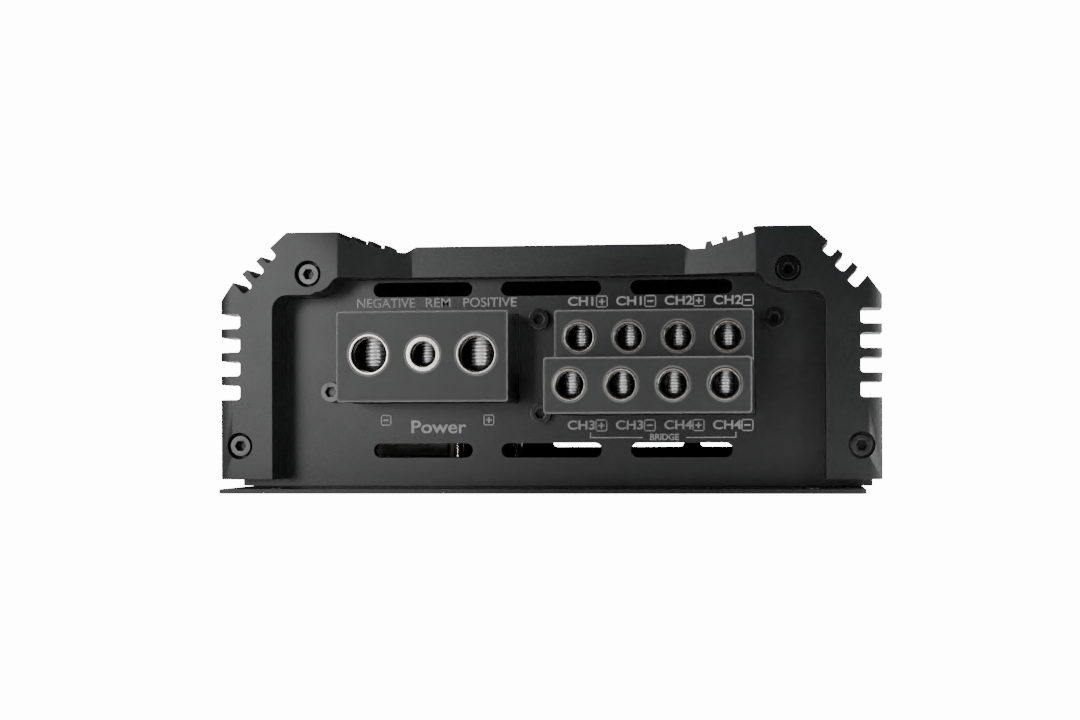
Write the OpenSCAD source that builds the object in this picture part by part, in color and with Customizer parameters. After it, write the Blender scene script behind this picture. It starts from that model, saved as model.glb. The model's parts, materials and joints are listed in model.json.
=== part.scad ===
// Car amplifier: extruded heatsink body between two faceted end bezels.
// Origin: centre of the base plate's underside. +Z up, terminals face -Y.

/* [Body] */
// Length between the two bezel faces
body_length = 248; // [240:2:300]
// Depth of each end bezel, from its face to its panel
bezel_depth = 8; // [7:0.5:10]
// How far the middle of each bezel is set back from its shoulders
bezel_setback = 3.5; // [1:0.5:5]
// Thickness of the sheet panel behind each bezel
panel_thickness = 1.5; // [1:0.25:2]
// Thickness of the base plate
base_thickness = 1.2; // [1:0.1:1.5]
// How far each lip of the base plate reaches past the bezel
lip_reach = 10.5; // [9:0.5:14]
// Radius of the four mounting holes in the lips
mount_hole_r = 2.25; // [1.5:0.25:2.5]
// Distance across the body between mounting holes
mount_spacing_x = 140; // [130:2:146]

/* [Vents] */
// Length of each vent slot
vent_length = 27.2; // [20:0.2:28]
// Height of each vent slot
vent_height = 3.9; // [2.5:0.1:4.5]
// Distance between vent slots
vent_pitch = 35; // [34:0.1:36]

/* [Terminals] */
// How far the power block stands ahead of the bezel face
power_reach = 3.5; // [2:0.1:6]
// How far the upper speaker tier stands ahead of the bezel face
upper_reach = 1.4; // [1:0.1:4]
// How far the lower speaker tier stands ahead of the bezel face
lower_reach = 14.6; // [13:0.1:16]
// Distance between speaker bores
speaker_pitch = 12.85; // [12:0.05:13]
// Inner radius of the two main power sleeves
main_bore_r = 4.7; // [4:0.1:5]
// Inner radius of the remote sleeve
remote_bore_r = 3.35; // [3:0.05:3.5]
// Inner radius of a speaker sleeve
speaker_bore_r = 3.5; // [3:0.1:3.6]

/* [Controls] */
// Radius of each control knob
knob_r = 3.2; // [2.5:0.1:3.6]
// Distance between control knobs
knob_pitch = 15; // [12:0.5:16]

/* [Hidden] */

$fn = 48;
eps = 0.1;            // overshoot of a cutting shape
fit_gap = 0.05;       // radial running clearance
seat_gap = 0.02;      // radial clearance of a seated tube

front_y = -body_length / 2;
panel_y = front_y + bezel_depth;
sink_y = panel_y + panel_thickness;
sink_length = -2 * sink_y;

// Profile of the body, right half, in X and Z
plateau = [35.4, 64.9];
valley_in = [38.0, 63.4];
valley_out = [41.7, 63.4];
rib_foot = [42.0, 65.0];
shoulder_in = [55.4, 68.6];
shoulder_out = [69.2, 68.6];
cheek_top = [83.8, 55.5];
side_x = 87.5;
side_top_z = 50.8;
bezel_foot_z = 3.2;
face_half_width = 83.8;
bevel_depth = 1.0;

rib_first_x = 43.4;
rib_pitch = 4.15;
rib_groove_w = 2.8;
rib_groove_depth = 1.3;
rib_slope = atan2(shoulder_in[1] - rib_foot[1], shoulder_in[0] - rib_foot[0]);

cheek_angle = atan2(shoulder_out[1] - cheek_top[1], cheek_top[0] - shoulder_out[0]);
notch_first = 7.7;    // along the cheek, from the shoulder to the first notch
notch_pitch = 5.1;
notch_w = 3.2;
notch_depths = [2.8, 3.6, 4.4];
notch_corner_r = 0.9;

slot_tops = [47.2, 40.9, 34.6, 28.3];
slot_h = 3.9;
slot_floor_x = 81.9;

recess_x = 73.1;
recess_side_top = 48.0;
recess_corner_r = 4;
recess_step_x = 62.4;
recess_top_x = 55.4;
recess_top_z = 56.7;
setback_x = 36.4;

bezel_screws = [[63.4, 57.6], [82.1, 12.1]];
bezel_head_r = 2.75;
bezel_head_h = 3;
bezel_bore_r = 3.5;
m3_r = 1.5;
thread_depth = 12;

sink_side_x = 81.2;
sink_side_top_z = 48.4;
sink_cheek_top = [71.4, 62.4];
sink_cheek_foot = [78.2, 52.6];
sink_foot_x = 85.9;
sink_foot_z = 18;
base_half_width = 82.7;
panel_inset = 0.6;

vent_z = [54.1, 10.7];

// Terminal blocks: centres across, extents in X and Z
power_x = [-54.3, -8.9];
power_z = [23.5, 47.2];
power_bore_z = 35.9;
power_bores = [-45.7, -31.3, -17.2];
main_sleeve_r = 5.35;
remote_sleeve_r = 4.57;
speaker_x = [2.8, 54.6];
speaker_mid_x = 28.6;
speaker_split_z = 34.1;
speaker_z = [20.1, 47.2];
upper_bore_z = 40.2;
lower_bore_z = 27.3;
speaker_sleeve_r = 4.1;
sleeve_depth = 13;
block_edge_r = 0.8;
block_back_y = sink_y + 14;
flange_t = 3.8;
panel_screw_at = [[-59.7, 26.5], [-2.9, 45.7], [59.7, 45.6], [-2.5, 20.6]];
ear_r = 3.6;
panel_head_r = 2.75;
panel_head_h = 2;

main_screw_r = 3;
small_screw_r = 2;
small_screw_back = 5.5; // from a tier's front face to its clamp screws
main_screw_back = 6.3;
main_screw_length = 12;
small_screw_length = 9.5;
screw_tip_gap = 0.3;  // from the floor of a bore to the tip of a screw wound right down
mouth_depth = 2;      // of the wider mouth of each sleeve
mouth_step = 0.2;
sleeve_end_t = 1;

board_z = 17.2;
board_t = 1.6;
board_top = board_z + board_t;
board_half = [66, -sink_y - 5.5];
spacer_at = [for (x = [-61, 61], y = [-92, 0, 92]) [x, y]];
component_gap = 0.05;

base_screw_at = [for (x = [-79, 79], y = [-100, 0, 100]) [x, y]];

wall_x = 76;
transistor_count = 8;
transistor_pitch = 21;
transistor_size = [4.4, 10, 15];
transistor_z = 31;
transistor_back = 0.5; // from the heatsink's wall to the transistors
pad_t = 0.34;
bar_t = 3;
bar_z = 34;
bar_x = wall_x - transistor_back - transistor_size[0] - 0.15 - bar_t / 2;
bar_screw_y = [for (i = [0:3]) (i - 1.5) * 2 * transistor_pitch];

rca_x = [38, 54];
rca_z = [27, 43];
rca_shell_r = 4.15;
rca_barrel_r = 3.9;
rca_barrel_depth = 8; // from the panel's inner face
rca_reach = 9;
rca_collar_gap = 0.5; // from the panel's outer face to the collar
rca_bore_r = 3.3;
rca_pin_r = 1.6;
knob_x0 = -52;
knob_z = 38;
knob_reach = 4.5;
knob_stem_r = 1.5;
slider_at = [-44.5, -14.5];
slider_z = 24;
light_x = [12, 18];
light_z = 38;
light_r = 1.5;

// The small board that stands over the main board at the control end
driver_x = [10, 60];
driver_y = [-sink_y - 54.5, -sink_y - 14.5];
driver_z = [30, 31.2];

dark = [0.16, 0.16, 0.17];
dark_plastic = [0.22, 0.22, 0.23];
nickel = [0.8, 0.8, 0.78];
bare = [0.7, 0.7, 0.72];
black = [0.05, 0.05, 0.05];
copper = [0.72, 0.4, 0.2];

// Points along an arc
function arc(cx, cy, r, from, to, n = 8) =
    [for (i = [0:n]) [cx + r * cos(from + (to - from) * i / n), cy + r * sin(from + (to - from) * i / n)]];

// A closed outline from its right half, which runs from the top middle to the bottom middle
function both(half) = concat(half, [for (i = [len(half) - 1:-1:0]) [-half[i][0], half[i][1]]]);

// A point on the sloping cheek, a distance along it from the shoulder
function on_cheek(along) =
    [shoulder_out[0] + along * cos(cheek_angle), shoulder_out[1] - along * sin(cheek_angle)];

// Height of the ribbed slope at an x
function slope_z(x) = rib_foot[1] + (x - rib_foot[0]) * tan(rib_slope);

module mirrored() {
    children();
    mirror([1, 0, 0]) children();
}

// Places a shape drawn in X and Z at a y, with a thickness towards +Y
module upright(y, thickness) {
    translate([0, y + thickness, 0]) rotate([90, 0, 0]) linear_extrude(thickness) children();
}

// A cylinder along Y that starts at a y
module rod(x, y, z, r, length) {
    translate([x, y, z]) rotate([-90, 0, 0]) cylinder(r = r, h = length);
}

// A box from its lowest to its highest corner
module block(low, high) {
    translate(low) cube(high - low);
}

// Turns a front part round to the rear end
module at_rear() {
    rotate([0, 0, 180]) children();
}

// The bezel's outer outline without its notches
module body_outline() {
    polygon(both([[0, plateau[1]], plateau, valley_in, valley_out, rib_foot, shoulder_in, shoulder_out,
        cheek_top, [side_x, side_top_z], [side_x, bezel_foot_z]]));
}

// Grooves between the ribs on the inner slopes
module rib_grooves(depth) {
    mirrored() for (i = [0:2]) {
        x = rib_first_x + i * rib_pitch;
        translate([x, slope_z(x)]) rotate(rib_slope) translate([0, -depth])
            square([rib_groove_w, depth + 2]);
    }
}

// Round-bottomed notches across the cheeks
module cheek_notches() {
    mirrored() for (i = [0:2]) {
        depth = notch_depths[i];
        translate(on_cheek(notch_first + i * notch_pitch)) rotate(-cheek_angle) {
            translate([-notch_w / 2, -depth + notch_corner_r]) square([notch_w, depth + 4]);
            for (side = [-1, 1]) translate([side * (notch_w / 2 - notch_corner_r), -depth + notch_corner_r])
                circle(r = notch_corner_r);
            translate([-notch_w / 2 + notch_corner_r, -depth])
                square([notch_w - 2 * notch_corner_r, notch_corner_r + eps]);
        }
    }
}

// Slots that open at the sides
module side_slots() {
    mirrored() for (top = slot_tops) {
        translate([slot_floor_x + notch_corner_r, top - slot_h]) square([10, slot_h]);
        for (z = [top - notch_corner_r, top - slot_h + notch_corner_r])
            translate([slot_floor_x + notch_corner_r, z]) circle(r = notch_corner_r);
        translate([slot_floor_x, top - slot_h + notch_corner_r])
            square([notch_corner_r + eps, slot_h - 2 * notch_corner_r]);
    }
}

// The opening inside the bezel, open at the bottom
module bezel_opening() {
    mid_x = (recess_step_x + recess_top_x) / 2;
    mid_z = (recess_side_top + recess_corner_r + recess_top_z) / 2;
    bend_r = 3.1;
    polygon(both(concat(
        [[0, recess_top_z], [recess_top_x - 1, recess_top_z]],
        arc(recess_top_x - 1, recess_top_z - bend_r, bend_r, 80, 40, 4),
        [[mid_x - 1, mid_z - 0.2], [mid_x + 1, mid_z - 1.4]],
        arc(recess_step_x + 1, recess_side_top + recess_corner_r + bend_r, bend_r, 230, 270, 4),
        arc(recess_x - recess_corner_r, recess_side_top, recess_corner_r, 90, 0),
        [[recess_x, -eps]])));
}

module bezel() {
    difference() {
        upright(front_y, bezel_depth - component_gap) difference() {
            body_outline();
            rib_grooves(rib_groove_depth);
            cheek_notches();
            side_slots();
            bezel_opening();
        }
        mirrored() translate([0, front_y, 0]) linear_extrude(100)
            polygon([[face_half_width, -eps], [face_half_width, 0], [side_x, bevel_depth],
                [side_x + 2, bevel_depth], [side_x + 2, -eps]]);
        translate([0, front_y, 0]) linear_extrude(100)
            polygon([[-recess_top_x, -eps], [-recess_top_x, 0], [-setback_x, bezel_setback],
                [setback_x, bezel_setback], [recess_top_x, 0], [recess_top_x, -eps]]);
        mirrored() for (at = bezel_screws) {
            rod(at[0], front_y - eps, at[1], bezel_bore_r, bezel_head_h + 0.6 + eps);
            rod(at[0], front_y, at[1], m3_r + 0.15, bezel_depth + 1);
        }
    }
}

// Socket cap screw along +Y, its head's face at y
module cap_screw(x, y, z, head_r, head_h, length) {
    difference() {
        union() {
            rod(x, y, z, head_r, head_h);
            rod(x, y + head_h - eps, z, m3_r, length + eps);
        }
        translate([x, y - eps, z]) rotate([-90, 0, 0]) cylinder(r = 1.45, h = head_h * 0.6 + eps, $fn = 6);
    }
}

module bezel_screw_set() {
    color(black) for (side = [-1, 1], at = bezel_screws)
        cap_screw(side * at[0], front_y + 0.6, at[1], bezel_head_r, bezel_head_h, bezel_depth - 1);
}

module vents() {
    for (i = [-1:1], z = vent_z) {
        end_x = (vent_length - vent_height) / 2;
        translate([i * vent_pitch - end_x, z - vent_height / 2]) square([2 * end_x, vent_height]);
        for (side = [-1, 1]) translate([i * vent_pitch + side * end_x, z]) circle(d = vent_height);
    }
}

// Outline of the heatsink, inside the bezel's notch floors
module sink_outline(inset) {
    polygon(both([[0, plateau[1] - inset], [plateau[0], plateau[1] - inset],
        [valley_in[0], valley_in[1] - inset], [valley_out[0] + inset, valley_out[1] - inset],
        [rib_foot[0] + inset, rib_foot[1] - inset], [shoulder_in[0] + inset, shoulder_in[1] - inset],
        [shoulder_out[0] - inset, shoulder_out[1] - inset], [sink_cheek_top[0] - inset, sink_cheek_top[1]],
        [sink_cheek_foot[0] - inset, sink_cheek_foot[1]], [sink_side_x - inset, sink_side_top_z],
        [sink_side_x - inset, sink_foot_z + 2],
        [sink_foot_x - inset, sink_foot_z], [sink_foot_x - inset, base_thickness]]));
}

module sink_cavity() {
    polygon(both([[0, 59.6], [50, 59.6], [53.5, 52.6], [66.5, 52], [wall_x, 43], [wall_x, 7],
        [73, 4], [73, -eps]]));
}

// Shallow grooves that leave fins on the heatsink's cheeks and sides
module sink_grooves() {
    fin_groove_w = 2.2;
    fin_depth = 2.2;
    mirrored() {
        for (i = [0:4]) translate([sink_side_x - fin_depth, 23.6 + i * 5]) square([10, fin_groove_w]);
        for (i = [0:1]) translate([73.2 + i * 3.2, 59.6 - i * 4.9]) rotate(35)
            translate([-fin_depth + 1, 0]) square([8, fin_groove_w]);
    }
}

// Ribs on the cavity's ceiling, which carry heat from the warm air
module ceiling_ribs() {
    for (i = [-4:4]) translate([i * 9 - 0.9, 57.6]) square([1.8, 2.2]);
}

module heatsink() {
    color(dark) difference() {
        upright(sink_y, sink_length) difference() {
            sink_outline(0.4);
            difference() {
                sink_cavity();
                ceiling_ribs();
            }
            rib_grooves(rib_groove_depth + 0.4);
            sink_grooves();
        }
        for (side = [-1, 1], at = bezel_screws) {
            rod(side * at[0], sink_y - eps, at[1], m3_r + fit_gap, thread_depth);
            rod(side * at[0], -sink_y - thread_depth + eps, at[1], m3_r + fit_gap, thread_depth);
        }
        for (at = base_screw_at) translate([at[0], at[1], 0]) cylinder(r = m3_r + fit_gap, h = 12);
    }
}

module front_bezel() { color(dark) bezel(); }

module rear_bezel() { color(dark) at_rear() bezel(); }

module panel_sheet() {
    difference() {
        sink_outline(panel_inset + 0.4);
        vents();
        for (side = [-1, 1], at = bezel_screws) translate([side * at[0], at[1]]) circle(r = m3_r + 0.15);
    }
}

module front_panel() {
    cut = 0.1;
    color(dark) upright(panel_y, panel_thickness - component_gap) difference() {
        panel_sheet();
        translate([power_x[0] - cut, power_z[0] - cut])
            square([power_x[1] - power_x[0] + 2 * cut, power_z[1] - power_z[0] + 2 * cut]);
        translate([speaker_x[0] - cut, speaker_z[0] - cut])
            square([speaker_x[1] - speaker_x[0] + 2 * cut, speaker_z[1] - speaker_z[0] + 2 * cut]);
        for (at = panel_screw_at) translate(at) circle(r = m3_r + 0.15);
    }
}

module rear_panel() {
    color(dark) upright(-sink_y + component_gap, panel_thickness - component_gap) difference() {
        panel_sheet();
        for (x = rca_x, z = rca_z) translate([x, z]) circle(r = rca_barrel_r + 0.1);
        for (i = [0:3]) translate([knob_x0 + i * knob_pitch, knob_z]) circle(r = knob_r + 0.4);
        for (x = slider_at) translate([x - 4, slider_z - 1.9]) square([8, 3.8]);
        for (x = light_x) translate([x, light_z]) circle(r = light_r + 0.05);
    }
}

module base_plate() {
    reach = body_length / 2 + lip_reach;
    lip_corner_r = 1;
    color(dark) difference() {
        linear_extrude(base_thickness - component_gap) polygon([
            [-base_half_width + lip_corner_r, -reach], [base_half_width - lip_corner_r, -reach],
            [base_half_width, -reach + lip_corner_r], [base_half_width, reach - lip_corner_r],
            [base_half_width - lip_corner_r, reach], [-base_half_width + lip_corner_r, reach],
            [-base_half_width, reach - lip_corner_r], [-base_half_width, -reach + lip_corner_r]]);
        for (x = [-1, 1], y = [-1, 1])
            translate([x * mount_spacing_x / 2, y * (body_length / 2 + lip_reach / 2), -1])
                cylinder(r = mount_hole_r, h = 4);
        for (at = concat(base_screw_at, spacer_at)) translate([at[0], at[1], -eps]) {
            cylinder(r = m3_r + 0.15, h = 4);
            cylinder(r1 = 2.95, r2 = m3_r + 0.15, h = 1.1);
        }
    }
}

// Countersunk screw that points up, flush with the base plate's underside
module flush_screw(at, length) {
    translate([at[0], at[1], 0.15]) difference() {
        union() {
            cylinder(r1 = 2.55, r2 = m3_r, h = 0.9);
            translate([0, 0, 0.8]) cylinder(r = m3_r, h = length);
        }
        translate([0, 0, -eps]) cylinder(r = 0.9, h = 0.9, $fn = 6);
    }
}

module base_screws() { color(black) for (at = base_screw_at) flush_screw(at, 8); }

module panel_screws() {
    color(black) for (at = panel_screw_at)
        cap_screw(at[0], panel_y - panel_head_h - component_gap, at[1], panel_head_r, panel_head_h, 5);
}

// An ear behind the panel that takes a panel screw, joined to a block that starts at x
module ear(at, x, y) {
    difference() {
        union() {
            rod(at[0], y, at[1], ear_r, flange_t);
            block([min(at[0], x), y, at[1] - ear_r], [max(at[0], x), y + flange_t, at[1] + ear_r]);
        }
        rod(at[0], y - eps, at[1], m3_r + fit_gap, flange_t + 2 * eps);
    }
}

// Box with its four edges along Y rounded
module soft_block(x, y, z, r) {
    upright(y[0], y[1] - y[0]) union() {
        translate([x[0] + r, z[0]]) square([x[1] - x[0] - 2 * r, z[1] - z[0]]);
        translate([x[0], z[0] + r]) square([x[1] - x[0], z[1] - z[0] - 2 * r]);
        for (cx = [x[0] + r, x[1] - r], cz = [z[0] + r, z[1] - r]) translate([cx, cz]) circle(r = r);
    }
}

function power_screw_back(i) = i == 1 ? small_screw_back : main_screw_back;

module power_terminal_block() {
    y = front_y - power_reach;
    color(dark_plastic) difference() {
        union() {
            soft_block(power_x, [y, block_back_y], power_z, block_edge_r);
            ear(panel_screw_at[0], power_x[0] + 2, sink_y);
            ear(panel_screw_at[1], power_x[1] - 2, sink_y);
            block([power_x[0] + 3, sink_y + 4, board_top + component_gap],
                [power_x[1] - 3, block_back_y, power_z[0] + 1]);
        }
        for (i = [0:2]) {
            r = i == 1 ? remote_sleeve_r : main_sleeve_r;
            screw_r = i == 1 ? small_screw_r : main_screw_r;
            rod(power_bores[i], y - eps, power_bore_z, r + seat_gap, block_back_y - y + 2 * eps);
            translate([power_bores[i], y + power_screw_back(i), power_bore_z])
                cylinder(r = screw_r + fit_gap, h = 20);
        }
    }
}

// A blind cable sleeve with a wider mouth, whose top is bored for its clamp screw
module sleeve(x, y, z, outer, inner, screw_r, screw_y) {
    difference() {
        rod(x, y, z, outer, sleeve_depth);
        rod(x, y - eps, z, inner, mouth_depth + eps);
        rod(x, y, z, inner - mouth_step, sleeve_depth - sleeve_end_t);
        translate([x, screw_y, z]) cylinder(r = screw_r + fit_gap, h = 10);
    }
}

module power_sleeves() {
    y = front_y - power_reach + 0.2;
    color(nickel) for (i = [0:2])
        sleeve(power_bores[i], y, power_bore_z, i == 1 ? remote_sleeve_r : main_sleeve_r,
            i == 1 ? remote_bore_r : main_bore_r, i == 1 ? small_screw_r : main_screw_r,
            front_y - power_reach + power_screw_back(i));
}

function speaker_bore_x(i) = speaker_mid_x + (i - 1.5) * speaker_pitch;

module speaker_terminal_block() {
    upper_y = front_y - upper_reach;
    lower_y = front_y - lower_reach;
    upper_z = [speaker_split_z - 2, speaker_z[1]];
    lower_z = [speaker_z[0], speaker_split_z];
    seat_r = speaker_sleeve_r + seat_gap;
    screw_hole_r = small_screw_r + fit_gap;
    color(dark_plastic) difference() {
        union() {
            soft_block(speaker_x, [upper_y, block_back_y], upper_z, block_edge_r);
            soft_block(speaker_x, [lower_y, block_back_y], lower_z, block_edge_r);
            ear(panel_screw_at[2], speaker_x[1] - 2, sink_y);
            ear(panel_screw_at[3], speaker_x[0] + 2, sink_y);
            block([speaker_x[0] + 3, sink_y + 4, board_top + component_gap],
                [speaker_x[1] - 3, block_back_y, speaker_z[0] + 1]);
        }
        for (i = [0:3]) {
            x = speaker_bore_x(i);
            rod(x, upper_y - eps, upper_bore_z, seat_r, block_back_y - upper_y + 2 * eps);
            rod(x, lower_y - eps, lower_bore_z, seat_r, block_back_y - lower_y + 2 * eps);
            translate([x, upper_y + small_screw_back, upper_bore_z]) cylinder(r = screw_hole_r, h = 20);
            translate([x, lower_y + small_screw_back, lower_bore_z]) cylinder(r = screw_hole_r, h = 20);
        }
    }
}

module speaker_sleeves(reach, z) {
    color(nickel) for (i = [0:3])
        sleeve(speaker_bore_x(i), front_y - reach + 0.2, z, speaker_sleeve_r, speaker_bore_r,
            small_screw_r, front_y - reach + small_screw_back);
}

// Solder pins that carry the current down through the circuit board
module terminal_pins() {
    pin_y = block_back_y - 3;
    color(nickel) for (x = concat(power_bores, [for (i = [0:3]) speaker_bore_x(i)]), dy = [-4, 0])
        translate([x, pin_y + dy, board_z - 2]) cylinder(r = 0.6, h = board_top - board_z + 1.9);
}

// Cone-point grub screw of a terminal, wound right down into its empty bore
module clamp_screw(x, y, bore_z, bore_r, r, length) {
    socket_depth = 2;
    point_r = r * 0.4;
    point_h = r * 0.5;
    color(bare) translate([x, y, bore_z - bore_r + mouth_step + screw_tip_gap]) difference() {
        union() {
            cylinder(r1 = point_r, r2 = r, h = point_h);
            translate([0, 0, point_h]) cylinder(r = r, h = length - point_h);
        }
        translate([0, 0, length - socket_depth]) cylinder(r = r * 0.55, h = socket_depth + 1, $fn = 6);
    }
}

module power_clamp_screw(i) {
    clamp_screw(power_bores[i], front_y - power_reach + power_screw_back(i), power_bore_z,
        i == 1 ? remote_bore_r : main_bore_r, i == 1 ? small_screw_r : main_screw_r,
        i == 1 ? small_screw_length : main_screw_length);
}

module upper_clamp_screw(i) {
    clamp_screw(speaker_bore_x(i), front_y - upper_reach + small_screw_back, upper_bore_z,
        speaker_bore_r, small_screw_r, small_screw_length);
}

module lower_clamp_screw(i) {
    clamp_screw(speaker_bore_x(i), front_y - lower_reach + small_screw_back, lower_bore_z,
        speaker_bore_r, small_screw_r, small_screw_length);
}

module circuit_board() {
    color("darkgreen") difference() {
        block([-board_half[0], -board_half[1], board_z], [board_half[0], board_half[1], board_top]);
        for (at = spacer_at) translate([at[0], at[1], board_z - 1]) cylinder(r = m3_r + 0.15, h = 4);
        for (x = concat(power_bores, [for (i = [0:3]) speaker_bore_x(i)]), dy = [-4, 0])
            translate([x, block_back_y - 3 + dy, board_z - 1]) cylinder(r = 0.65, h = 4);
    }
}

module board_spacers() {
    color(nickel) for (at = spacer_at) translate([at[0], at[1], base_thickness]) difference() {
        cylinder(r = 3, h = board_z - base_thickness - component_gap);
        translate([0, 0, -eps]) cylinder(r = m3_r + fit_gap, h = 30);
    }
}

// Screws down through the board and up through the base into each spacer
module board_screws() {
    color(nickel) for (at = spacer_at) {
        translate([at[0], at[1], board_top + component_gap]) {
            cylinder(r = 2.75, h = 1.8);
            translate([0, 0, -6]) cylinder(r = m3_r, h = 6 + eps);
        }
        flush_screw(at, 6);
    }
}

// A ring of round section that lies flat
module ring_core(at, ring_r, section_r) {
    translate([at[0], at[1], board_top + section_r + 1.8]) rotate_extrude()
        translate([ring_r, 0]) circle(r = section_r);
}

// Turns of wire spaced evenly round such a ring
module ring_winding(at, ring_r, section_r, wire_r, turns) {
    loop_r = section_r + wire_r + 0.1;
    translate([at[0], at[1], board_top + section_r + 1.8]) for (i = [0:turns - 1])
        rotate([0, 0, i * 360 / turns]) translate([ring_r, 0, 0]) rotate([90, 0, 0])
            rotate_extrude($fn = 24) translate([loop_r, 0]) circle(r = wire_r, $fn = 16);
}

transformer_at = [-26, -28];
inductor_at = [for (y = [-60, -30, 0, 30]) [38, y]];

module transformer_core() { color([0.3, 0.3, 0.3]) ring_core(transformer_at, 18, 6); }

module transformer_winding() { color(copper) ring_winding(transformer_at, 18, 6, 0.8, 18); }

module inductor_cores() { color([0.75, 0.7, 0.2]) for (at = inductor_at) ring_core(at, 8, 3); }

module inductor_windings() { color(copper) for (at = inductor_at) ring_winding(at, 8, 3, 0.8, 9); }

// Electrolytic can with a rolled groove near its foot
module can(x, y, r, h) {
    translate([x, y, board_top + component_gap]) rotate_extrude() polygon([[0, 0], [r, 0], [r, 2],
        [r - 0.6, 2.6], [r - 0.6, 3.2], [r, 3.8], [r, h - 0.8], [r - 0.8, h], [0, h]]);
}

module supply_capacitors() {
    color([0.1, 0.12, 0.3]) for (x = [-44, -22, 0], y = [-84]) can(x, y, 8, 30);
}

module rail_capacitors() {
    color([0.1, 0.12, 0.3]) for (x = [-45, -24, -3], y = [22, 44]) can(x, y, 9, 34);
}

module power_transistors() {
    lead = [0.6, 0.9, 4.8];
    x = wall_x - transistor_back - transistor_size[0] / 2;
    color(black) for (side = [-1, 1], i = [0:transistor_count - 1]) {
        y = (i - (transistor_count - 1) / 2) * transistor_pitch;
        translate([side * x, y, transistor_z]) cube(transistor_size, center = true);
        for (dy = [-2.54, 0, 2.54]) translate([side * (x - 1.2), y + dy, 21.3]) cube(lead, center = true);
    }
}

module thermal_pads() {
    pad_length = transistor_count * transistor_pitch;
    color([0.75, 0.75, 0.8]) for (side = [-1, 1])
        translate([side * (wall_x - component_gap - pad_t / 2), 0, transistor_z])
            cube([pad_t, pad_length, transistor_size[2] + 3], center = true);
}

module clamp_bars() {
    bar_length = transistor_count * transistor_pitch - 4;
    color(bare) for (side = [-1, 1]) difference() {
        translate([side * bar_x, 0, bar_z]) cube([bar_t, bar_length, 6], center = true);
        for (y = bar_screw_y) translate([side * (bar_x - bar_t), y, bar_z]) rotate([0, side * 90, 0])
            cylinder(r = m3_r + 0.1, h = 2 * bar_t);
    }
}

module clamp_bar_screws() {
    head_h = 2.2;
    color(nickel) for (side = [-1, 1], y = bar_screw_y)
        translate([side * (bar_x - bar_t / 2 - component_gap), y, bar_z]) rotate([0, side * 90, 0]) {
            translate([0, 0, -eps]) cylinder(r = m3_r, h = 7.6 + eps);
            translate([0, 0, -head_h]) cylinder(r = 2.6, h = head_h);
        }
}

module driver_board() {
    color("darkgreen")
        block([driver_x[0], driver_y[0], driver_z[0]], [driver_x[1], driver_y[1], driver_z[1]]);
}

module driver_header() {
    half_width = 1.3;
    color(black) for (x = [driver_x[0] + 4, driver_x[1] - 4])
        block([x - half_width, driver_y[0] + 4, board_top + component_gap],
            [x + half_width, driver_y[1] - 4, driver_z[0] - component_gap]);
}

module control_chips() {
    color(black) {
        for (x = [driver_x[0] + 12, driver_x[1] - 14], y = [driver_y[0] + 10, driver_y[1] - 12])
            block([x - 5, y - 4, driver_z[1] + component_gap], [x + 5, y + 4, driver_z[1] + 1.6]);
        block([-50, 68, board_top + component_gap], [-34, 84, board_top + 2]);
    }
}

// Jack housing inside the rear panel
module rca_housing() {
    y = -sink_y - component_gap;
    color(black) difference() {
        union() {
            block([rca_x[0] - 7, y - 12, rca_z[0] - 7], [rca_x[1] + 7, y, rca_z[1] + 7]);
            block([rca_x[0] - 7, y - 12, 32], [rca_x[1] + 7, y, 36]);
        }
        for (x = rca_x, z = rca_z) rod(x, y - 9, z, rca_barrel_r + seat_gap, 12);
    }
}

// Barrel through the panel with a wider collar that a plug slides over
module rca_shells() {
    y = -sink_y - rca_barrel_depth;
    length = panel_thickness + rca_barrel_depth + rca_reach;
    collar_y = -sink_y + panel_thickness + rca_collar_gap;
    color(nickel) for (x = rca_x, z = rca_z) difference() {
        union() {
            rod(x, y, z, rca_barrel_r, length);
            rod(x, collar_y, z, rca_shell_r, rca_reach - rca_collar_gap);
        }
        rod(x, y - eps, z, rca_bore_r, length + 2 * eps);
    }
}

module rca_insulators() {
    y = -sink_y - rca_barrel_depth;
    length = panel_thickness + rca_barrel_depth + rca_reach - 0.4;
    color([0.85, 0.85, 0.8]) for (x = rca_x, z = rca_z) difference() {
        rod(x, y, z, rca_bore_r - seat_gap, length);
        rod(x, y - eps, z, rca_pin_r, length + 2 * eps);
    }
}

module potentiometers() {
    y = -sink_y - component_gap;
    color([0.1, 0.2, 0.35]) for (i = [0:3]) {
        x = knob_x0 + i * knob_pitch;
        difference() {
            block([x - 5, y - 8, knob_z - 5], [x + 5, y - 0.5, knob_z + 5]);
            rod(x, y - 6, knob_z, knob_stem_r + fit_gap, 12);
        }
        block([x - 4, y - 7, board_top + component_gap], [x + 4, y - 5, knob_z - 4.9]);
    }
}

// Knob with a stem in its potentiometer and a screwdriver slot in its face
module knob(i) {
    x = knob_x0 + i * knob_pitch;
    y = -sink_y + 0.2;
    length = panel_thickness + knob_reach;
    color(dark_plastic) difference() {
        union() {
            rod(x, y, knob_z, knob_r, length);
            rod(x, y - 5.6, knob_z, knob_stem_r, 5.7);
        }
        block([x - 0.5, y + length - 1.2, knob_z - knob_r - 1],
            [x + 0.5, y + length + 1, knob_z + knob_r + 1]);
    }
}

module switch_housings() {
    y = -sink_y - component_gap;
    color(bare) for (x = slider_at) difference() {
        block([x - 7, y - 5, slider_z - 4], [x + 7, y, slider_z + 4]);
        block([x - 5.4, y - 3.2, slider_z - 2.6], [x + 5.4, y + 1, slider_z + 2.6]);
    }
}

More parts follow.
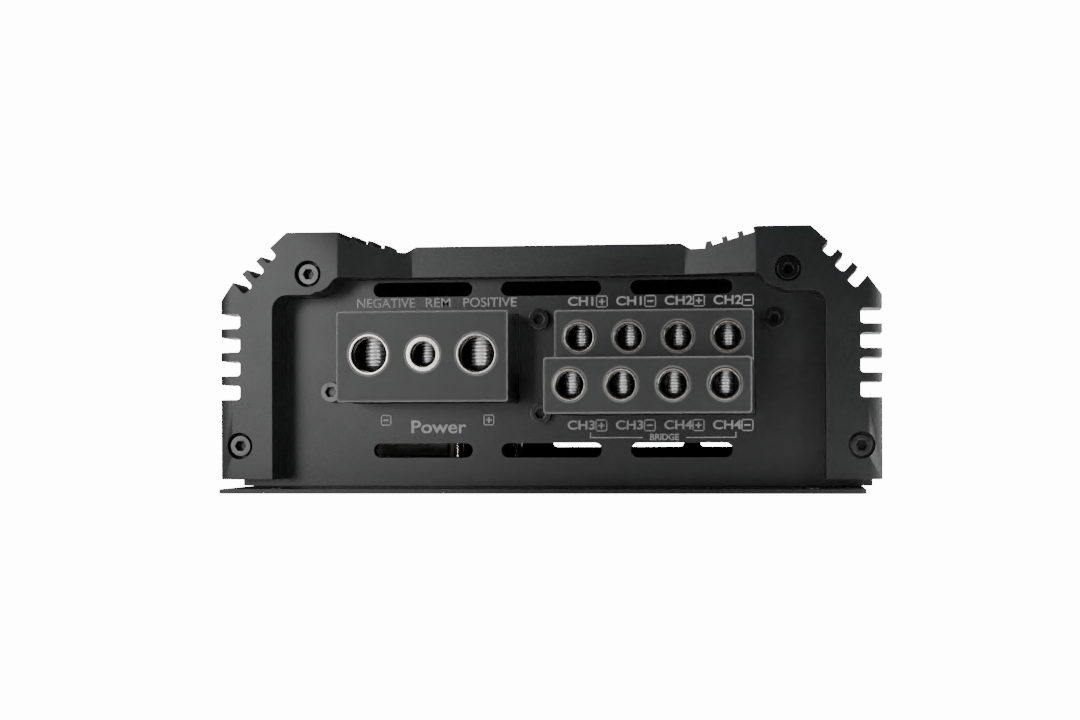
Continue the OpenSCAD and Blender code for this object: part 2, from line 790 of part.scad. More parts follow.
module crossover_slider(i) {
    x = slider_at[i];
    y = -sink_y - component_gap;
    color(black) {
        block([x - 2.9, y - 2.8, slider_z - 2.3], [x + 2.9, y - 0.4, slider_z + 2.3]);
        block([x - 1.6, y - 0.5, slider_z - 1.5], [x + 1.6, y + panel_thickness + 2.5, slider_z + 1.5]);
    }
}

module status_lights() {
    color([0.8, 0.2, 0.15]) for (x = light_x) {
        rod(x, -sink_y - 4, light_z, light_r, panel_thickness + 4.6);
        rod(x, -sink_y - 5, light_z, light_r + 0.5, 1.1);
    }
}

heatsink();
front_bezel();
rear_bezel();
front_panel();
rear_panel();
base_plate();
bezel_screw_set();  // front_bezel_screws
at_rear() bezel_screw_set();  // rear_bezel_screws
base_screws();
panel_screws();
power_terminal_block();
power_sleeves();
speaker_terminal_block();
speaker_sleeves(upper_reach, upper_bore_z);  // speaker_sleeves_upper
speaker_sleeves(lower_reach, lower_bore_z);  // speaker_sleeves_lower
terminal_pins();
power_clamp_screw(0);  // negative_clamp_screw
power_clamp_screw(1);  // remote_clamp_screw
power_clamp_screw(2);  // positive_clamp_screw
upper_clamp_screw(0);  // upper_clamp_screw_1
upper_clamp_screw(1);  // upper_clamp_screw_2
upper_clamp_screw(2);  // upper_clamp_screw_3
upper_clamp_screw(3);  // upper_clamp_screw_4
lower_clamp_screw(0);  // lower_clamp_screw_1
lower_clamp_screw(1);  // lower_clamp_screw_2
lower_clamp_screw(2);  // lower_clamp_screw_3
lower_clamp_screw(3);  // lower_clamp_screw_4
circuit_board();
board_spacers();
board_screws();
transformer_core();
transformer_winding();
inductor_cores();
inductor_windings();
supply_capacitors();
rail_capacitors();
power_transistors();
thermal_pads();
clamp_bars();
clamp_bar_screws();
driver_board();
driver_header();
control_chips();
rca_housing();
rca_shells();
rca_insulators();
potentiometers();
knob(0);  // gain_knob_front
knob(1);  // gain_knob_rear
knob(2);  // high_pass_knob
knob(3);  // low_pass_knob
switch_housings();
crossover_slider(0);  // crossover_slider_front
crossover_slider(1);  // crossover_slider_rear
status_lights();
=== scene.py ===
"""Looks for the car amplifier: eased metal and plastic shells, screw threads, legends and materials."""
import json
import math

import bmesh
import bpy
from mathutils import Matrix, Vector


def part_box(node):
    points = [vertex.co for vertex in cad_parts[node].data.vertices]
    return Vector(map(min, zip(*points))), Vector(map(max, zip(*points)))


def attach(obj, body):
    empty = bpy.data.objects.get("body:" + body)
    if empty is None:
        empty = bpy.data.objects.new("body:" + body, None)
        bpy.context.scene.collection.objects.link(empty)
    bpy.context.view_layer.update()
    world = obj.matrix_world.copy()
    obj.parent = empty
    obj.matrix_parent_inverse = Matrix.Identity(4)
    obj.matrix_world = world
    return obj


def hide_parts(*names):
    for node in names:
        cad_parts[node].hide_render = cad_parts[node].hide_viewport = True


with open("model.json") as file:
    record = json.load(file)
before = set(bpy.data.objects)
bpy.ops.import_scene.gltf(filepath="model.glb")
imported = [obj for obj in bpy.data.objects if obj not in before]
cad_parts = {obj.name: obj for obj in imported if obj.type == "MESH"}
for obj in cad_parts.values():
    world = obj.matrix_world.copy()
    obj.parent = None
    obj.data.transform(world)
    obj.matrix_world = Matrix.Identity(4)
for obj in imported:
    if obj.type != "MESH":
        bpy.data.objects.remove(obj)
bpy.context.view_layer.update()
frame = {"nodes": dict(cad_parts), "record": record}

MM = 0.001
CHASSIS = "chassis"
SKY_FOR_CAMERA = 14.0
SKY_FOR_LIGHT = 0.05
COAT_ROUGHNESS = (0.30, 0.38)
CORE_HALF_WIDTH = 76.6 * MM
CORE_TOP = 60.2 * MM
JACK_COLOUR_SPLIT = 35 * MM
DIAL_TICKS = 11
DIAL_REACH = 150
nodes = frame["nodes"]
mounts = {mount["name"]: mount for mount in frame["record"]["mounts"]}
body_of_node = {
    node: body
    for body, members in frame["record"]["behaviour"]["bodies"].items()
    for node in members
}
slot_of_node = {part["node"]: part["material_slot"] for part in frame["record"]["subparts"]}


# ---------------------------------------------------------------- camera

def add_camera():
    """The camera at the viewing angle of the terminal end, a little to the right and just above the base."""
    side, distance, height = 64.1 * MM, 291 * MM, 15.4 * MM
    turn, roll = math.radians(3.68), math.radians(0.17)
    face_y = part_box("front_bezel")[0][1]
    data = bpy.data.cameras.new("camera")
    data.sensor_width = 36
    data.lens = 37.65
    data.shift_x = -0.1654
    data.shift_y = 0.0669
    data.clip_start = 0.01
    camera = bpy.data.objects.new("camera", data)
    heading = Matrix.Rotation(turn, 3, "Z")
    right = heading @ Vector((math.cos(roll), 0, -math.sin(roll)))
    up = heading @ Vector((math.sin(roll), 0, math.cos(roll)))
    back = heading @ Vector((0, -1, 0))
    pose = Matrix((right, up, back)).transposed().to_4x4()
    pose.translation = Vector((side, face_y - distance, height))
    camera.matrix_world = pose
    bpy.context.scene.collection.objects.link(camera)
    bpy.context.scene.camera = camera


# ---------------------------------------------------------------- node material helpers

class Recipe:
    """A small wrapper that builds one node material."""

    def __init__(self, name):
        self.material = bpy.data.materials.new(name)
        self.material.use_nodes = True
        self.tree = self.material.node_tree
        self.shader = self.tree.nodes["Principled BSDF"]
        self.coords = self.node("ShaderNodeTexCoord").outputs["Object"]

    def node(self, kind, **settings):
        made = self.tree.nodes.new(kind)
        for key, value in settings.items():
            setattr(made, key, value)
        return made

    def link(self, source, target):
        self.tree.links.new(source, target)

    def set(self, **values):
        """Sets the shader's own sockets, with underscores for spaces."""
        for key, value in values.items():
            self.shader.inputs[key.replace("_", " ")].default_value = value

    def noise(self, size, detail=2.0, stretch=(1, 1, 1)):
        """Noise whose features are about size metres across."""
        mapping = self.node("ShaderNodeMapping")
        mapping.inputs["Scale"].default_value = stretch
        self.link(self.coords, mapping.inputs["Vector"])
        noise = self.node("ShaderNodeTexNoise")
        noise.inputs["Scale"].default_value = 1 / size
        noise.inputs["Detail"].default_value = detail
        self.link(mapping.outputs["Vector"], noise.inputs["Vector"])
        return noise.outputs["Fac"]

    def ramp(self, factor, low, high, start=0.3, end=0.7):
        """Maps a factor to a colour between low and high."""
        ramp = self.node("ShaderNodeValToRGB")
        ramp.color_ramp.elements[0].position = start
        ramp.color_ramp.elements[1].position = end
        ramp.color_ramp.elements[0].color = (*low, 1)
        ramp.color_ramp.elements[1].color = (*high, 1)
        self.link(factor, ramp.inputs["Fac"])
        return ramp.outputs["Color"]

    def span(self, factor, low, high):
        """Maps a factor from 0..1 to low..high."""
        span = self.node("ShaderNodeMapRange")
        span.inputs["To Min"].default_value = low
        span.inputs["To Max"].default_value = high
        self.link(factor, span.inputs["Value"])
        return span.outputs["Result"]

    def mix(self, factor, first, second):
        """Blends two colours."""
        mix = self.node("ShaderNodeMix", data_type="RGBA")
        self.link(factor, mix.inputs["Factor"])
        self.link(first, mix.inputs["A"])
        self.link(second, mix.inputs["B"])
        return mix.outputs["Result"]

    def edges(self, radius, start=0.02, end=0.25):
        """A mask that is 1 along sharp edges, where a coat wears thin and where a painted edge highlight
        goes.
        """
        bevel = self.node("ShaderNodeBevel", samples=4)
        bevel.inputs["Radius"].default_value = radius
        geometry = self.node("ShaderNodeNewGeometry")
        dot = self.node("ShaderNodeVectorMath", operation="DOT_PRODUCT")
        self.link(bevel.outputs["Normal"], dot.inputs[0])
        self.link(geometry.outputs["Normal"], dot.inputs[1])
        flip = self.node("ShaderNodeMapRange")
        flip.inputs["From Min"].default_value = 1 - start
        flip.inputs["From Max"].default_value = 1 - end
        self.link(dot.outputs["Value"], flip.inputs["Value"])
        return flip.outputs["Result"]

    def bump(self, height, distance, strength):
        """Adds a bump on top of any bump already there."""
        bump = self.node("ShaderNodeBump")
        bump.inputs["Distance"].default_value = distance
        bump.inputs["Strength"].default_value = strength
        self.link(height, bump.inputs["Height"])
        before = self.shader.inputs["Normal"].links
        if before:
            self.link(before[0].from_socket, bump.inputs["Normal"])
        self.link(bump.outputs["Normal"], self.shader.inputs["Normal"])

    def colour(self, socket):
        self.link(socket, self.shader.inputs["Base Color"])

    def roughness(self, socket):
        self.link(socket, self.shader.inputs["Roughness"])


def powder_coat(name, low, high, edge):
    """Fine-textured powder coat that is lighter along edges, partly a coat worn thin and partly a painted
    highlight.
    """
    recipe = Recipe(name)
    coat_recipe(recipe, low, high, edge)
    return recipe.material


def coat_recipe(recipe, low, high, edge):
    """The coat's colour, gloss and fine texture."""
    grain = recipe.noise(0.35 * MM, 3)
    cloud = recipe.noise(14 * MM, 4)
    base = recipe.ramp(cloud, low, high)
    # Lighter edge colour: partly the coat worn thin, partly a painted highlight along the edges.
    worn_and_highlit_edge = recipe.ramp(grain, edge, [value * 1.3 for value in edge])
    recipe.colour(recipe.mix(recipe.edges(0.35 * MM), base, worn_and_highlit_edge))
    recipe.roughness(recipe.span(cloud, *COAT_ROUGHNESS))
    recipe.bump(grain, 0.03 * MM, 0.7)
    recipe.bump(recipe.noise(1.1 * MM, 2), 0.025 * MM, 0.5)


def below(recipe, axis, limit):
    """A mask that is 1 where the part's own coordinate is under a limit, either side of its middle."""
    parts = recipe.node("ShaderNodeSeparateXYZ")
    recipe.link(recipe.coords, parts.inputs["Vector"])
    size = recipe.node("ShaderNodeMath", operation="ABSOLUTE")
    recipe.link(parts.outputs[axis], size.inputs[0])
    under = recipe.node("ShaderNodeMath", operation="LESS_THAN")
    recipe.link(size.outputs["Value"], under.inputs[0])
    under.inputs[1].default_value = limit
    return under.outputs["Value"]


def cored_coat(name, low, high, edge):
    """Powder coat outside, with the extrusion's hollow left as bare drawn aluminium."""
    recipe = Recipe(name)
    coat_recipe(recipe, low, high, edge)
    inside = recipe.node("ShaderNodeMath", operation="MULTIPLY")
    recipe.link(below(recipe, "X", CORE_HALF_WIDTH), inside.inputs[0])
    recipe.link(below(recipe, "Z", CORE_TOP), inside.inputs[1])
    coat = recipe.shader.inputs["Base Color"].links[0].from_socket
    drawn = recipe.noise(0.6 * MM, 3, (1, 0.03, 1))
    recipe.colour(recipe.mix(inside.outputs["Value"], coat, recipe.ramp(drawn, grey(0.45), grey(0.62))))
    recipe.link(inside.outputs["Value"], recipe.shader.inputs["Metallic"])
    return recipe.material


def two_tone_plastic(name, upper, lower, split):
    """Moulded plastic of two colours, one above and one below a height."""
    recipe = Recipe(name)
    grain = recipe.noise(0.3 * MM, 2)
    top = recipe.ramp(grain, upper, [value * 1.1 for value in upper])
    bottom = recipe.ramp(grain, lower, [value * 1.1 for value in lower])
    recipe.colour(recipe.mix(below(recipe, "Z", split), top, bottom))
    recipe.roughness(recipe.span(grain, 0.3, 0.42))
    recipe.bump(grain, 0.01 * MM, 0.5)
    return recipe.material


def moulded(name, low, high, edge, roughness=(0.36, 0.5), painted_highlight_width=0.3 * MM):
    """Moulded plastic with a faint spark-eroded grain and a painted highlight along its edges."""
    recipe = Recipe(name)
    grain = recipe.noise(0.25 * MM, 2)
    cloud = recipe.noise(9 * MM, 3)
    base = recipe.ramp(cloud, low, high)
    # Painted highlight: the lighter edge colour is laid along the edges in place of a reflection.
    painted_edge_highlight = recipe.ramp(grain, edge, [value * 1.2 for value in edge])
    recipe.colour(recipe.mix(recipe.edges(painted_highlight_width, 0.004, 0.12), base, painted_edge_highlight))
    recipe.roughness(recipe.span(cloud, *roughness))
    recipe.bump(grain, 0.015 * MM, 0.6)
    return recipe.material


def metal(name, low, high, roughness, grain=(1, 1, 1), grain_size=0.3, painted_hollow_shade=None,
          mark_depth=0.008):
    """Plated or bare metal, with tool marks along the grain, and painted shade darkening its recesses if
    asked.
    """
    recipe = Recipe(name)
    recipe.set(Metallic=1.0)
    marks = recipe.noise(grain_size * MM, 3, grain)
    stain = recipe.noise(4 * MM, 3)
    colour = recipe.ramp(stain, low, high)
    # Painted shade: ambient occlusion darkens the colour in bores and sockets, where shade falls.
    if painted_hollow_shade:
        hollow = recipe.node("ShaderNodeAmbientOcclusion", samples=6)
        hollow.inputs["Distance"].default_value = 9 * MM
        painted_shade_colour = recipe.ramp(stain, [value * 0.8 for value in painted_hollow_shade], painted_hollow_shade)
        openness = recipe.ramp(hollow.outputs["AO"], (0, 0, 0), (1, 1, 1), 0.3, 0.75)
        colour = recipe.mix(openness, painted_shade_colour, colour)
    recipe.colour(colour)
    recipe.roughness(recipe.span(marks, *roughness))
    recipe.bump(marks, mark_depth * MM, 0.5)
    return recipe.material


def printed(name, low, high):
    """Screen-printed ink, slightly broken up by the coat under it."""
    recipe = Recipe(name)
    recipe.colour(recipe.ramp(recipe.noise(0.3 * MM, 3), low, high, 0.25, 0.6))
    recipe.roughness(recipe.span(recipe.noise(0.5 * MM, 2), 0.5, 0.7))
    recipe.bump(recipe.noise(0.3 * MM, 2), 0.01 * MM, 0.5)
    return recipe.material


def glow_for_camera(tree, surface, strength, output, socket):
    """Adds white light that only the camera sees, so that the stage is pale but lights the part softly."""
    path = tree.nodes.new("ShaderNodeLightPath")
    glow = tree.nodes.new("ShaderNodeEmission" if socket == "Emission" else "ShaderNodeBackground")
    glow.inputs["Color"].default_value = (1, 1, 1, 1)
    glow.inputs["Strength"].default_value = strength
    mix = tree.nodes.new("ShaderNodeMixShader")
    tree.links.new(path.outputs["Is Camera Ray"], mix.inputs["Fac"])
    tree.links.new(surface, mix.inputs[1])
    tree.links.new(glow.outputs[0], mix.inputs[2])
    tree.links.new(mix.outputs["Shader"], output)


def plain_stage(name, colour):
    """Matt paper for the floor."""
    recipe = Recipe(name)
    recipe.colour(recipe.ramp(recipe.noise(0.4, 2), colour, [value * 1.02 for value in colour]))
    recipe.set(Roughness=0.9)
    output = recipe.tree.nodes["Material Output"].inputs["Surface"]
    glow_for_camera(recipe.tree, recipe.shader.outputs[0], SKY_FOR_CAMERA, output, "Emission")
    return recipe.material


def grey(value, warmth=0.0):
    """A near-neutral colour."""
    return (value * (1 + warmth), value, value * (1 - warmth))


def make_materials():
    """Every material, by the name of its slot."""
    coat = (grey(0.005, -0.09), grey(0.007, -0.09), grey(0.022, -0.05))
    white, red = (0.68, 0.68, 0.64), (0.45, 0.02, 0.015)
    return {
        # The coat's third colour lightens its edges, partly as worn coat and partly as a painted highlight.
        "powder_coat": powder_coat("powder_coat", *coat),
        "cored_coat": cored_coat("cored_coat", *coat),
        # black_screw: painted shade darkens its sockets and hollows.
        "black_screw": metal("black_screw", grey(0.045), grey(0.07), (0.16, 0.26), painted_hollow_shade=grey(0.015)),
        # block_plastic: a painted highlight about 1 mm wide along its edges.
        "block_plastic": moulded("block_plastic", grey(0.016, -0.04), grey(0.020, -0.04), grey(0.2),
                                 painted_highlight_width=1.0 * MM),
        # nickel: painted shade darkens the insides of the sleeves.
        "nickel": metal("nickel", (0.52, 0.50, 0.47), (0.70, 0.68, 0.64), (0.14, 0.26), grain_size=0.6,
                        painted_hollow_shade=grey(0.05), mark_depth=0.035),
        "steel_screw": metal("steel_screw", grey(0.66), grey(0.80), (0.34, 0.48)),
        "board_green": moulded("board_green", (0.01, 0.09, 0.03), (0.015, 0.13, 0.05), (0.1, 0.25, 0.12)),
        "ferrite": moulded("ferrite", grey(0.05), grey(0.07), grey(0.1), (0.6, 0.8)),
        "iron_powder": moulded("iron_powder", (0.45, 0.38, 0.05), (0.55, 0.47, 0.08), (0.6, 0.5, 0.2)),
        "copper_wire": metal("copper_wire", (0.55, 0.22, 0.08), (0.72, 0.33, 0.14), (0.2, 0.35)),
        "capacitor_sleeve": moulded("capacitor_sleeve", (0.01, 0.012, 0.05), (0.014, 0.018, 0.07), grey(0.2)),
        "black_plastic": moulded("black_plastic", grey(0.014), grey(0.02), grey(0.06)),
        "thermal_silicone": moulded("thermal_silicone", grey(0.4), grey(0.5), grey(0.55), (0.6, 0.8)),
        "bare_aluminium": metal("bare_aluminium", grey(0.60), grey(0.72), (0.28, 0.42), (1, 0.04, 1)),
        "white_plastic": moulded("white_plastic", white, (0.76, 0.76, 0.72), grey(0.85)),
        "jack_insulator": two_tone_plastic("jack_insulator", white, red, JACK_COLOUR_SPLIT),
        "control_blue": moulded("control_blue", (0.02, 0.06, 0.2), (0.03, 0.09, 0.27), (0.1, 0.15, 0.3)),
        "knob_plastic": moulded("knob_plastic", grey(0.03), grey(0.04), grey(0.12)),
        "light_lens": moulded("light_lens", (0.45, 0.03, 0.02), (0.6, 0.05, 0.03), (0.8, 0.2, 0.15),
                              (0.08, 0.14)),
        "legend": printed("legend_ink", grey(0.24), grey(0.34)),
    }


# ---------------------------------------------------------------- mesh helpers

def add_piece(name, mesh, material, body=CHASSIS):
    """A new object that rides on a body."""
    piece = bpy.data.objects.new(name, mesh)
    bpy.context.scene.collection.objects.link(piece)
    mesh.materials.clear()
    mesh.materials.append(material)
    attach(piece, body)
    return piece


def clean_copy(node):
    """A copy of a node's mesh with its flat faces whole again."""
    work = bmesh.new()
    work.from_mesh(nodes[node].data)
    bmesh.ops.remove_doubles(work, verts=work.verts, dist=0.002 * MM)
    bmesh.ops.dissolve_limit(work, angle_limit=math.radians(0.5), verts=work.verts, edges=work.edges)
    return work


def ease_edges(work, width, only=None, segments=2, sharp_degrees=35):
    """Rounds the sharp edges of a mesh, or only those whose middle the test accepts."""
    sharp = [
        edge for edge in work.edges
        if len(edge.link_faces) == 2 and edge.calc_face_angle(0) > math.radians(sharp_degrees)
        and (only is None or only((edge.verts[0].co + edge.verts[1].co) / 2))
    ]
    bmesh.ops.bevel(
        work, geom=sharp, offset=width, offset_type="OFFSET", segments=segments, profile=0.6,
        affect="EDGES", clamp_overlap=True, harden_normals=False,
    )


def keep_faces_flat(piece):
    """Large flat faces keep their own normals, so that only the rounded edges shade smoothly."""
    weighted = piece.modifiers.new("flat_faces", "WEIGHTED_NORMAL")
    weighted.mode = "FACE_AREA"
    weighted.weight = 100
    weighted.keep_sharp = True


def finish_mesh(work, name, smooth_degrees=32):
    """Shades smoothly, apart from sharp edges and the shallow bends between large flat faces."""
    for edge in work.edges:
        if len(edge.link_faces) == 2:
            angle = math.degrees(edge.calc_face_angle(0))
            area = min(face.calc_area() for face in edge.link_faces) / MM ** 2
            bend = (angle > 4 and area > 25) or (angle > 12 and area > 5)
            edge.smooth = angle < smooth_degrees and not bend
    for face in work.faces:
        face.smooth = True
    mesh = bpy.data.meshes.new(name)
    work.to_mesh(mesh)
    work.free()
    return mesh


def stand_in(node, work, materials, flat=True):
    """Puts a rebuilt mesh in a node's place."""
    title = node + "_shell"
    slot = slot_of_node[node]
    piece = add_piece(title, finish_mesh(work, title), materials[slot], body_of_node[node])
    if flat:
        keep_faces_flat(piece)
    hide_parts(node)
    return piece


def eased(node, width, materials, only=None, segments=2):
    """A node rebuilt with rounded edges."""
    work = clean_copy(node)
    ease_edges(work, width, only, segments)
    return stand_in(node, work, materials)


def hexagon_radius(corner_radius, angle):
    """Distance from a hexagon's middle to its side, with a corner at angle 0."""
    return corner_radius * math.cos(math.pi / 6) / math.cos(angle % (math.pi / 3) - math.pi / 6)


def threaded_screw(node, pitch, materials):
    """A grub screw with thread grooves cut into its side, a cone point and a hexagon socket."""
    low, high = (Vector(corner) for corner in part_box(node))
    radius = (high.x - low.x) / 2
    middle = (low + high) / 2
    socket, socket_depth, groove, chamfer = radius * 0.55, 2 * MM, pitch * 0.5, 0.3 * MM
    point = radius * 0.5
    profile = [(low.z, radius * 0.4), (low.z + point, radius - 0.02 * MM)]
    level = low.z + point + pitch * 0.2
    while level + pitch < high.z - chamfer:
        profile += [
            (level, radius),
            (level + pitch * 0.35, radius - groove),
            (level + pitch * 0.7, radius),
        ]
        level += pitch
    profile += [(high.z - chamfer, radius), (high.z, radius - chamfer)]
    work = bmesh.new()
    steps = 36
    angles = [math.tau * step / steps for step in range(steps)]

    def ring(z, radius_at):
        return [
            work.verts.new((middle.x + radius_at(angle) * math.cos(angle),
                            middle.y + radius_at(angle) * math.sin(angle), z))
            for angle in angles
        ]

    rings = [ring(z, lambda angle, r=r: r) for z, r in profile]
    rings.append(ring(high.z, lambda angle: hexagon_radius(socket, angle)))
    rings.append(ring(high.z - socket_depth, lambda angle: hexagon_radius(socket, angle)))
    for lower, upper in zip(rings, rings[1:]):
        for step in range(steps):
            following = (step + 1) % steps
            work.faces.new((lower[step], lower[following], upper[following], upper[step]))
    work.faces.new(rings[0][::-1])
    work.faces.new(rings[-1])
    bmesh.ops.recalc_face_normals(work, faces=work.faces)
    return stand_in(node, work, materials, flat=False)


def away_from_bores(point):
    """True for points of a terminal block that are not on the rim of a cable bore."""
    for mount in mounts.values():
        if mount["kind"] == "bore":
            x, _, z = mount["pos_m"]
            if math.hypot(point.x - x, point.z - z) < (mount["dims"]["r_mm"] + 1.4) * MM:
                return False
    return True


def at_mouth(node):
    """A test for points at the open end of the sleeves in a node."""
    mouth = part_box(node)[0][1] + 0.05 * MM
    return lambda point: point.y < mouth


# ---------------------------------------------------------------- legends

def text_mesh(text, size, bold):
    """Flat lettering as a mesh, with its middle at the origin."""
    curve = bpy.data.curves.new("legend", "FONT")
    curve.body = text
    curve.size = size
    curve.align_x = "CENTER"
    curve.align_y = "CENTER"
    curve.extrude = 0.02 * MM
    curve.offset = bold
    carrier = bpy.data.objects.new("legend", curve)
    mesh = bpy.data.meshes.new_from_object(carrier)
    bpy.data.objects.remove(carrier)
    bpy.data.curves.remove(curve)
    return mesh


def add_legend(name, text, x, z, size, materials, wall_y, facing=-1, width_scale=1.2, bold=0.00007):
    """Generic lettering printed on a wall that faces -Y (facing -1) or +Y (facing 1)."""
    mesh = text_mesh(text, size, bold)
    spin = Matrix.Rotation(math.pi / 2, 4, "X")
    if facing > 0:
        spin = Matrix.Rotation(math.pi, 4, "Z") @ spin
    place = Matrix.Translation((x, wall_y + facing * 0.03 * MM, z))
    mesh.transform(place @ spin @ Matrix.Diagonal((width_scale, 1, 1, 1)))
    mesh.name = name
    return add_piece(name, mesh, materials["legend"])


def bar(work, x0, x1, z0, z1, wall_y, facing):
    """A thin raised printed bar."""
    front, back = wall_y + facing * 0.05 * MM, wall_y + facing * 0.01 * MM
    bmesh.ops.create_cube(work, size=1, matrix=(
        Matrix.Translation(((x0 + x1) / 2, (front + back) / 2, (z0 + z1) / 2))
        @ Matrix.Diagonal((x1 - x0, abs(front - back), z1 - z0, 1))))


def add_sign(name, positive, x, z, half, materials, wall_y, facing=-1):
    """A printed square outline with a plus or a minus inside it."""
    work = bmesh.new()
    arm, thick, cut = half * 0.8, half * 0.14, half * 0.2
    for side in (-1, 1):
        near, far = sorted((side * arm, side * half))
        bar(work, x - half + cut, x + half - cut, z + near, z + far, wall_y, facing)
        bar(work, x + near, x + far, z - arm, z + arm, wall_y, facing)
    reach = half * 0.52
    bar(work, x - reach, x + reach, z - thick, z + thick, wall_y, facing)
    if positive:
        for side in (-1, 1):
            low, high = sorted((side * thick, side * reach))
            bar(work, x - thick, x + thick, z + low, z + high, wall_y, facing)
    bmesh.ops.recalc_face_normals(work, faces=work.faces)
    return add_piece(name, finish_mesh(work, name), materials["legend"])


def add_bracket(name, x0, x1, z_top, z_bottom, gap_x, materials, wall_y):
    """The line that pairs two channels, open in its middle for a label."""
    work = bmesh.new()
    line = 0.3 * MM
    bar(work, x0, x0 + line, z_bottom, z_top, wall_y, -1)
    bar(work, x1 - line, x1, z_bottom, z_top, wall_y, -1)
    bar(work, x0, gap_x[0], z_bottom - line, z_bottom, wall_y, -1)
    bar(work, gap_x[1], x1, z_bottom - line, z_bottom, wall_y, -1)
    bmesh.ops.recalc_face_normals(work, faces=work.faces)
    return add_piece(name, finish_mesh(work, name), materials["legend"])


def add_terminal_legends(materials):
    """Generic words and signs above and below the two terminal blocks."""
    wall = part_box("front_panel")[0][1]
    upper_row, lower_row = 50.4 * MM, 17.3 * MM
    words = (("negative", "NEGATIVE", 1.0), ("remote", "REM", 1.1), ("positive", "POSITIVE", 1.06))
    for name, text, scale in words:
        x = mounts[name + "_input"]["pos_m"][0] + 0.5 * MM
        add_legend("legend_" + name, text, x, upper_row, 3.5 * MM, materials, wall,
                   width_scale=scale, bold=0.00003)
    add_sign("legend_minus", False, -45.2 * MM, 18.9 * MM, 1.45 * MM, materials, wall)
    add_sign("legend_plus", True, -17.0 * MM, 18.9 * MM, 1.45 * MM, materials, wall)
    add_legend("legend_supply", "Power", -30.9 * MM, 16.9 * MM, 4.8 * MM, materials, wall)
    for tier, z, first, shift in (("upper", upper_row, 1, 0.6), ("lower", lower_row, 3, 0.4)):
        for index in range(4):
            tag = "%s_%d" % (tier, index + 1)
            x = mounts["speaker_" + tag]["pos_m"][0] + (shift - 1.6 + index * 0.15) * MM
            channel = "CH%d" % (first + index // 2)
            add_legend("legend_channel_" + tag, channel, x, z, 3.3 * MM, materials, wall)
            add_sign("legend_sign_" + tag, index % 2 == 0, x + 5.4 * MM, z, 1.6 * MM, materials, wall)
    add_bracket("legend_bracket", 10.4 * MM, 49.6 * MM, 15.5 * MM, 14.2 * MM,
                (24.6 * MM, 36.2 * MM), materials, wall)
    add_legend("legend_bridge", "BRIDGE", 30.4 * MM, 14.1 * MM, 2.3 * MM, materials, wall, width_scale=1.0)


def add_control_legends(materials):
    """Generic words and dial ticks on the rear panel, beside the jacks and controls."""
    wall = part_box("rear_panel")[1][1]
    words = (("gain_knob_front", "LEVEL 1"), ("gain_knob_rear", "LEVEL 2"), ("high_pass_knob", "HPF"),
             ("low_pass_knob", "LPF"))
    for name, text in words:
        low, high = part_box(name)
        x, z, radius = (low[0] + high[0]) / 2, (low[2] + high[2]) / 2, (high[0] - low[0]) / 2
        add_legend("legend_" + name, text, x, high[2] + 3.6 * MM, 2.1 * MM, materials, wall, 1)
        work = bmesh.new()
        for step in range(DIAL_TICKS):
            angle = math.radians(DIAL_REACH * (2 * step / (DIAL_TICKS - 1) - 1))
            turn = Matrix.Translation((x, wall + 0.03 * MM, z)) @ Matrix.Rotation(angle, 4, "Y")
            place = turn @ Matrix.Translation((0, 0, radius + 1.3 * MM))
            tick = Matrix.Diagonal((0.2 * MM, 0.04 * MM, 0.8 * MM, 1))
            bmesh.ops.create_cube(work, size=1, matrix=place @ tick)
        title = "ticks_" + name
        add_piece(title, finish_mesh(work, title), materials["legend"])
    for name in ("crossover_slider_front", "crossover_slider_rear"):
        low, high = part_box(name)
        x, z = (low[0] + high[0]) / 2, (low[2] + high[2]) / 2
        add_legend("legend_" + name, "HPF  FULL  LPF", x, z - 4.4 * MM, 1.8 * MM, materials, wall, 1)
    for number in (1, 3):
        x, _, z = mounts["signal_jack_%d" % number]["pos_m"]
        add_legend("legend_channel_pair_%d" % number, "CH%d/CH%d" % (number, number + 1), x,
                   z - 7.0 * MM, 2.0 * MM, materials, wall, 1)
    add_legend("legend_signal", "INPUT", 46 * MM, 49.6 * MM, 2.2 * MM, materials, wall, 1)
    low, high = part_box("status_lights")
    x, z = (low[0] + high[0]) / 2, high[2] + 3.0 * MM
    add_legend("legend_lights", "PWR PROT", x, z, 1.8 * MM, materials, wall, 1)


# ---------------------------------------------------------------- stage and light

def add_area(name, place, target, size, power):
    """A white rectangular studio light aimed at a point."""
    data = bpy.data.lights.new(name, "AREA")
    data.shape = "RECTANGLE"
    data.size, data.size_y = size
    data.energy = power
    lamp = bpy.data.objects.new(name, data)
    lamp.location = place
    lamp.rotation_euler = (Vector(target) - Vector(place)).to_track_quat("-Z", "Y").to_euler()
    bpy.context.scene.collection.objects.link(lamp)


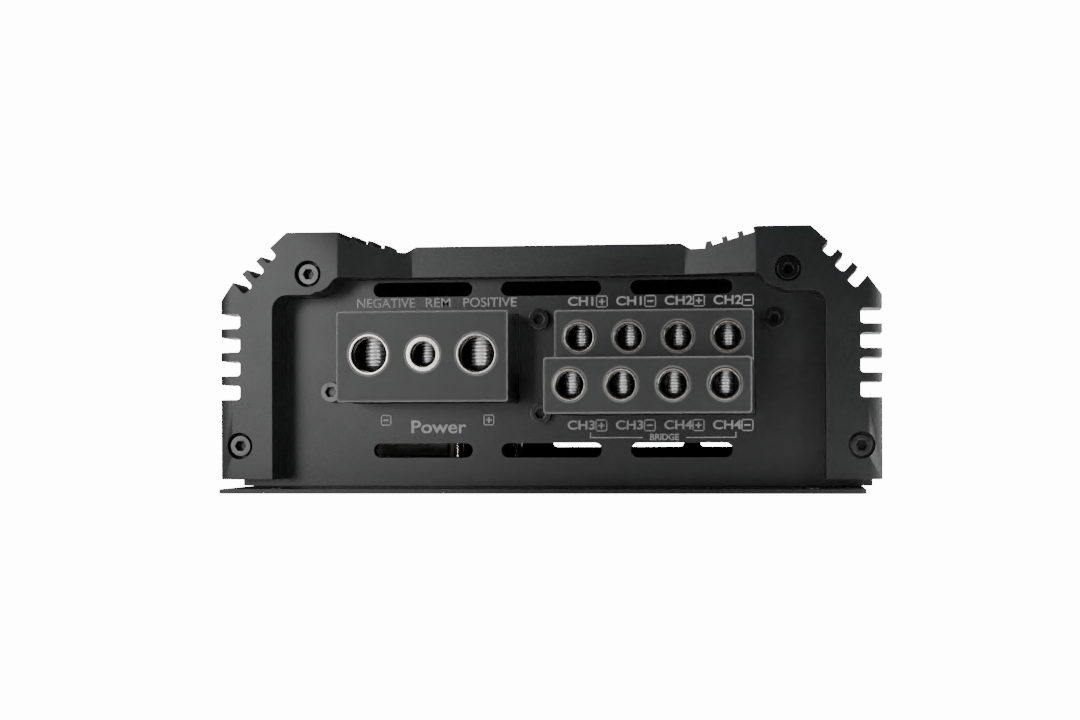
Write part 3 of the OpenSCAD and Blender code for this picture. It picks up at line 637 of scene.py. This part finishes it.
def add_stage():
    """A pale floor just under the part, a pale sky and three lights."""
    mesh = bpy.data.meshes.new("floor")
    reach = 4.0
    level = -0.0004
    mesh.from_pydata(
        [(-reach, -reach, level), (reach, -reach, level), (reach, reach, level), (-reach, reach, level)],
        [], [(0, 1, 2, 3)])
    floor = bpy.data.objects.new("floor", mesh)
    mesh.materials.append(plain_stage("floor_paper", (0.9, 0.9, 0.9)))
    bpy.context.scene.collection.objects.link(floor)
    world = bpy.data.worlds.new("studio")
    world.use_nodes = True
    sky = world.node_tree.nodes["Background"]
    sky.inputs["Color"].default_value = (1, 1, 1, 1)
    sky.inputs["Strength"].default_value = SKY_FOR_LIGHT
    glow_for_camera(world.node_tree, sky.outputs[0], SKY_FOR_CAMERA,
                    world.node_tree.nodes["World Output"].inputs["Surface"], "Background")
    bpy.context.scene.world = world
    middle = (0, -0.12, 0.035)
    add_area("key_light", (-0.42, -0.75, 0.11), middle, (0.36, 0.40), 2.4)
    add_area("edge_light", (0.66, -0.86, 0.08), (0.08, -0.12, 0.03), (0.2, 0.5), 5.8)
    add_area("top_light", (0.45, 0.22, 0.95), (0, 0, 0.05), (0.6, 0.6), 26)


# ---------------------------------------------------------------- build

add_camera()
materials = make_materials()

own_material = {"heatsink": "cored_coat", "rca_insulators": "jack_insulator"}
for node, thing in nodes.items():
    thing.data.materials.clear()
    thing.data.materials.append(materials[own_material.get(node, slot_of_node[node])])

nodes_by_easing = {
    0.4 * MM: ("front_bezel", "rear_bezel"),
    0.2 * MM: ("base_plate", "front_bezel_screws", "rear_bezel_screws", "panel_screws", "rca_shells",
               "gain_knob_front", "gain_knob_rear", "high_pass_knob", "low_pass_knob",
               "crossover_slider_front", "crossover_slider_rear"),
    0.15 * MM: ("front_panel", "rear_panel"),
}
for width, members in nodes_by_easing.items():
    for node in members:
        eased(node, width, materials)
eased("power_terminal_block", 0.5 * MM, materials, away_from_bores, 3)
eased("speaker_terminal_block", 0.8 * MM, materials, away_from_bores, 4)
for node in ("power_sleeves", "speaker_sleeves_upper", "speaker_sleeves_lower"):
    eased(node, 0.24 * MM, materials, at_mouth(node), 3)
for node in nodes:
    if "_clamp_screw" in node:
        coarse = node in ("negative_clamp_screw", "positive_clamp_screw")
        threaded_screw(node, (0.95 if coarse else 0.75) * MM, materials)

add_terminal_legends(materials)
add_control_legends(materials)
add_stage()
